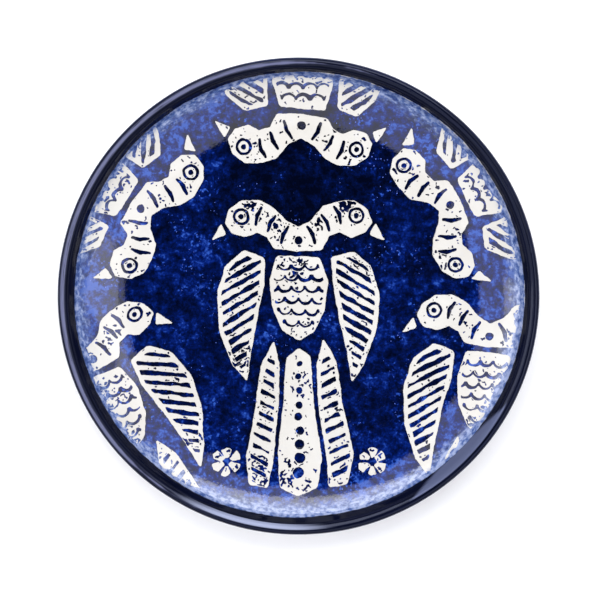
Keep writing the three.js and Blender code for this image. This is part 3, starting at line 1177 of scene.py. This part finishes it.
def white_finish():
    finish = Finish("white_glaze_finish", 0.12, IOR=1.5)
    broad = finish.noise(24, 3, 0.55)
    colour = finish.ramp(broad, [(0.3, (0.610, 0.582, 0.530)), (0.7, (0.675, 0.658, 0.612))])
    fleck = finish.between(finish.noise(0.8, 2, 0.6, offset=12), 0.70, 0.76)
    colour = finish.mix(finish.times(fleck, 0.45), colour, (0.30, 0.32, 0.46))
    tint = finish.between(finish.noise(6, 3, 0.6, offset=50), 0.55, 0.75)
    colour = finish.mix(finish.times(tint, 0.25), colour, (0.58, 0.585, 0.64))
    # The blue stain by the band follows the wash's blotches, so the painted reflection in them leaves it
    # weaker towards the bottom.
    thin, blotch = wash_and_sheen(finish, 116.5, 122)
    stain = finish.times(thin, finish.between(blotch, 0.56, 0.42))
    colour = finish.mix(stain, colour, (0.12, 0.19, 0.45))
    roughness = finish.uneven_shine(5, 31, 0.09, 0.17)
    return finish.done(colour, roughness, finish.noise(1.6, 2, 0.5, offset=8), 0.015)


# Painted reflections inside the lip: paler patches that stand in for the lights mirrored there. For each,
# the direction in degrees with the reach along it where that begins and is full, how far along the lip from
# its crest, and the paler colour.
PAINTED_REFLECTIONS = [
    ((316, 120.5, 122.0), (-9.0, -0.9), (0.085, 0.100, 0.180)),
    ((258, 118.0, 126.0), (-3.6, -0.5), (0.280, 0.310, 0.440)),
]


def band_finish():
    finish = Finish("band_glaze_finish", 0.1, IOR=1.34, Specular_Tint=(0.66, 0.72, 1.0, 1.0))
    streaks = finish.streaks(22.0, 0.7)
    along = finish.times(finish.attribute("along"), 1 / MM)
    inside = finish.ramp(streaks, [(0.35, (0.0010, 0.0018, 0.008)), (0.7, (0.003, 0.0045, 0.018))])
    outside = finish.ramp(streaks, [(0.3, (0.0015, 0.0045, 0.026)), (0.7, (0.004, 0.015, 0.085))])
    colour = finish.mix(finish.between(along, 0.6, 2.2), inside, outside)
    # The glaze breaks thin to a pale lilac line along the crest. Its widening towards the left, where the
    # left light falls, is a painted highlight.
    edge = finish.math("ABSOLUTE", finish.plus(along, 0.4))
    highlight_leftward = finish.vector("DOT_PRODUCT", finish.place, (-0.0056, 0.0022, 0))
    thin_and_lit = finish.plus(finish.noise(20, 3, 0.6, offset=33), highlight_leftward)
    wide = finish.between(thin_and_lit, 0.35, 1.1, 0.0, 1.0)
    break_and_highlight = finish.between(finish.math("SUBTRACT", edge, wide), -0.7, 0.1, 1.0, 0.0)
    break_and_highlight = finish.times(break_and_highlight, finish.between(streaks, 0.25, 0.5))
    colour = finish.mix(finish.times(break_and_highlight, 0.85), colour, (0.15, 0.16, 0.27))
    # Painted reflections: paler patches on the lip's inner face at the lower right and at the bottom.
    for (towards, near, far), (low, high), pale in PAINTED_REFLECTIONS:
        along_side = finish.vector("DOT_PRODUCT", finish.place, direction(towards))
        reach = finish.plus(along_side, finish.times(streaks, 1.6))
        reflection_mask = finish.times(
            finish.between(reach, near, far), finish.between(along, low, low + 0.3),
            finish.between(along, high, high - 0.5))
        colour = finish.mix(reflection_mask, colour, pale)
    roughness = finish.between(streaks, 0.3, 0.7, 0.05, 0.12)
    return finish.done(colour, roughness, streaks, 0.03)


def back_finish():
    finish = Finish("back_glaze_finish", 0.18, IOR=1.5)
    broad = finish.noise(18, 4, 0.6)
    colour = finish.ramp(broad, [(0.3, (0.70, 0.68, 0.63)), (0.7, (0.84, 0.82, 0.77))])
    iron = finish.between(finish.noise(0.7, 2, 0.6, offset=19), 0.69, 0.74)
    colour = finish.mix(finish.times(iron, 0.6), colour, (0.20, 0.13, 0.09))
    smear = finish.between(finish.streaks(16.0, 2.2, 7.0), 0.60, 0.76)
    colour = finish.mix(finish.times(smear, 0.35), colour, (0.33, 0.40, 0.66))
    roughness = finish.uneven_shine(4, 3, 0.12, 0.26)
    return finish.done(colour, roughness, finish.noise(2.0, 3, 0.55, offset=5), 0.03)


def clay_finish():
    finish = Finish("fired_clay_finish", 0.85)
    rings = finish.streaks(40.0, 0.5, 3.0)
    grog = finish.noise(0.5, 3, 0.7)
    broad = finish.noise(9, 4, 0.6)
    colour = finish.ramp(broad, [(0.3, (0.40, 0.235, 0.14)), (0.7, (0.56, 0.37, 0.235))])
    colour = finish.mix(finish.between(grog, 0.62, 0.7, 0, 0.5), colour, (0.72, 0.58, 0.44))
    colour = finish.mix(finish.between(rings, 0.55, 0.7, 0, 0.35), colour, (0.25, 0.15, 0.095))
    roughness = finish.between(grog, 0.3, 0.7, 0.75, 0.95)
    return finish.done(colour, roughness, finish.plus(rings, grog), 0.12)


def floor_finish():
    finish = Finish("studio_floor_finish", 0.6)
    shade = finish.noise(300, 2, 0.5)
    colour = finish.ramp(shade, [(0.3, (0.965, 0.965, 0.965)), (0.7, (0.985, 0.985, 0.985))])
    return finish.done(colour)


MATERIALS = {
    "cobalt_glaze": cobalt_finish(),
    "white_glaze": white_finish(),
    "band_glaze": band_finish(),
    "back_glaze": back_finish(),
    "clay": clay_finish(),
}


# ---- camera, floor and light ----------------------------------------------------------------

FLOOR_REACH = 3.0
CAMERA_DISTANCE = 1.1
CAMERA_TILT = math.radians(8)  # off the plate's axis, towards the plate's top
CAMERA_LENS = 122.4
LOOK_AT = Vector((0.0008, -0.0003, 0.024))


def make_camera():
    back = Vector((0, math.sin(CAMERA_TILT), math.cos(CAMERA_TILT)))
    up = Vector((0, math.cos(CAMERA_TILT), -math.sin(CAMERA_TILT)))
    right = up.cross(back)
    camera = bpy.data.objects.new("camera", bpy.data.cameras.new("camera"))
    camera.data.lens = CAMERA_LENS
    camera.data.sensor_width = 36
    camera.data.clip_start = 0.05
    turn = Matrix((right, up, back)).transposed().to_4x4()
    camera.matrix_world = Matrix.Translation(LOOK_AT + CAMERA_DISTANCE * back) @ turn
    bpy.context.scene.collection.objects.link(camera)
    bpy.context.scene.camera = camera


def make_floor():
    mesh = bpy.data.meshes.new("studio_floor")
    signs = ((-1, -1), (1, -1), (1, 1), (-1, 1))
    mesh.from_pydata([(FLOOR_REACH * a, FLOOR_REACH * b, 0) for a, b in signs], [], [(0, 1, 2, 3)])
    floor = bpy.data.objects.new("studio_floor", mesh)
    mesh.materials.append(floor_finish())
    bpy.context.scene.collection.objects.link(floor)
    floor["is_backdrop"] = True


def make_softbox(name, middle, width, height, radiance, distance=1.4):
    """A rectangular light that shines at the plate from a direction given by its plan part."""
    up = math.sqrt(1 - middle[0] ** 2 - middle[1] ** 2)
    place = distance * Vector((*middle, up))
    light = bpy.data.objects.new(name, bpy.data.lights.new(name, "AREA"))
    light.data.shape = "RECTANGLE"
    light.data.size, light.data.size_y = width, height
    light.data.energy = radiance * math.pi * width * height
    light.matrix_world = Matrix.Translation(place) @ (-place).to_track_quat("-Z", "Y").to_matrix().to_4x4()
    bpy.context.scene.collection.objects.link(light)


# The light tent, seen as a disc of directions from straight up at its centre to level at its rim.
# Each side of the dark opening overhead has its direction in degrees and its distance.
OPENING_SIDES = [
    (0, 0.15), (60, 0.28), (90, 0.34), (145, 0.34), (180, 0.29), (235, 0.26), (275, 0.245), (315, 0.21),
]
OPENING_LIGHT = 0.008
TENT_LIGHT = 1.42
TENT_COLOUR = (0.92, 0.93, 1, 1)
TENT_EDGE = 0.82
SHADE_LIGHT = 0.25
HORIZON_EDGE = 0.985
HORIZON_LIGHT = 0.9


def make_world():
    """A light tent: white cloth round a dark opening, shade below it and a pale horizon."""
    world = bpy.data.worlds.new("light_tent")
    world.use_nodes = True
    bpy.context.scene.world = world
    nodes = Nodes(world.node_tree)

    def step(value, edge, low, high, soft=0.005):
        return nodes.between(value, edge - soft, edge + soft, low, high)

    towards_light = nodes.add("ShaderNodeTexCoord").outputs["Generated"]
    flat = nodes.vector("MULTIPLY", towards_light, (1, 1, 0))
    outside = -1.0
    for degrees, distance in OPENING_SIDES:
        along_side = nodes.vector("DOT_PRODUCT", flat, direction(degrees))
        outside = nodes.math("MAXIMUM", outside, nodes.math("SUBTRACT", along_side, distance))
    from_middle = nodes.vector("LENGTH", flat)
    light = step(outside, 0.0, OPENING_LIGHT, TENT_LIGHT)
    light = step(from_middle, TENT_EDGE, light, SHADE_LIGHT, 0.03)
    light = step(from_middle, HORIZON_EDGE, light, HORIZON_LIGHT, 0.004)
    background = world.node_tree.nodes["Background"]
    nodes.feed(background.inputs["Strength"], light)
    background.inputs["Color"].default_value = TENT_COLOUR


def set_view():
    bpy.context.scene.view_settings.view_transform = "Standard"


# ---- the whole plate ------------------------------------------------------------------------

make_camera()
set_view()
make_floor()
make_world()
make_softbox("softbox_far", (0.02, 0.62), 1.35, 0.80, 4.0)
make_softbox("softbox_left", (-0.72, 0.04), 0.65, 0.80, 2.3)
make_softbox("softbox_right", (0.38, -0.15), 0.3, 0.62, 1.6)

make_clay_body()
make_foot()
make_white()
make_cobalt()
make_band()
make_back()
make_foot_well()

sizes = {"cad": cad_bounds, "visual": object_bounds()}
{name: [list(corner) for corner in corners] for name, corners in sizes.items()}
